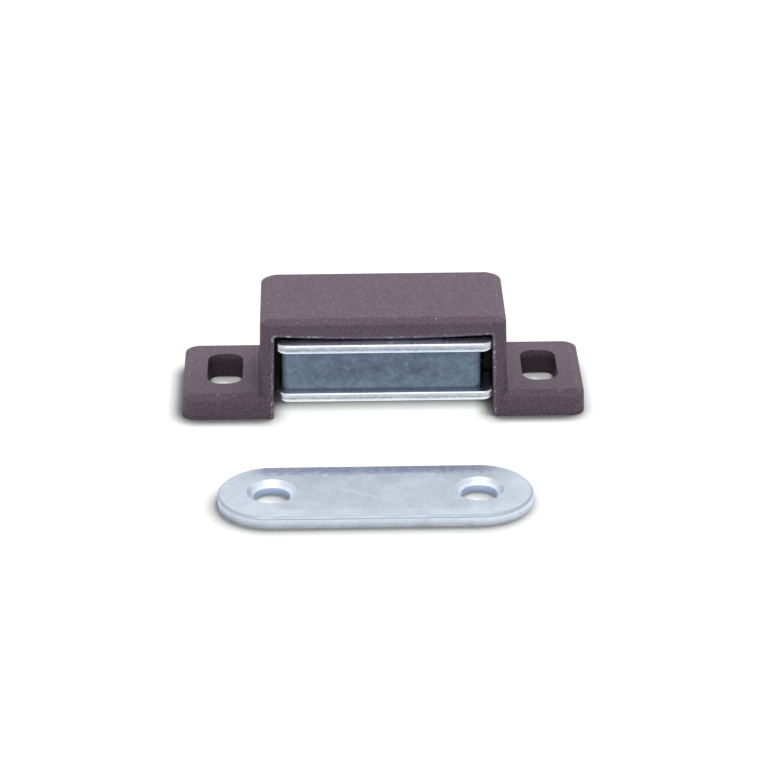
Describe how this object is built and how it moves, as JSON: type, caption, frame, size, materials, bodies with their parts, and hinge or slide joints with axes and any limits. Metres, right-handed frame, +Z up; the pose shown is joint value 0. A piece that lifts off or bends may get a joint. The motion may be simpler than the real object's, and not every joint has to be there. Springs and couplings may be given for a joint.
{
  "type": "magnetic catch",
  "caption": "Screw-on magnetic cabinet catch: a plastic housing with slotted ears holds a floating magnet between steel pole plates, with a countersunk steel strike plate.",
  "frame": {"origin": "on the housing's mounting face, midway between its two screw slots", "axes": "+X along the catch over both ears, -Y towards the strike plate, the pack's working direction, +Z up from the mounting face"},
  "size_m": [0.0582, 0.051, 0.0153],
  "materials": {
    "plastic": "fine moulded grain, mauve brown",
    "ferrite": "dull ground slate grey",
    "zinc_plated_steel": "bright pale blue zinc plating"
  },
  "bodies": {
    "catch_body": {"housing": "plastic", "strike_plate": "zinc_plated_steel"},
    "magnet_pack": {"magnet": "ferrite", "upper_pole_plate": "zinc_plated_steel", "lower_pole_plate": "zinc_plated_steel"}
  },
  "joints": [
    {"name": "pack_float", "type": "slide", "parent": "catch_body", "child": "magnet_pack", "axis": [0, -1, 0], "range_m": [-0.0004, 0.0004]}
  ]
}
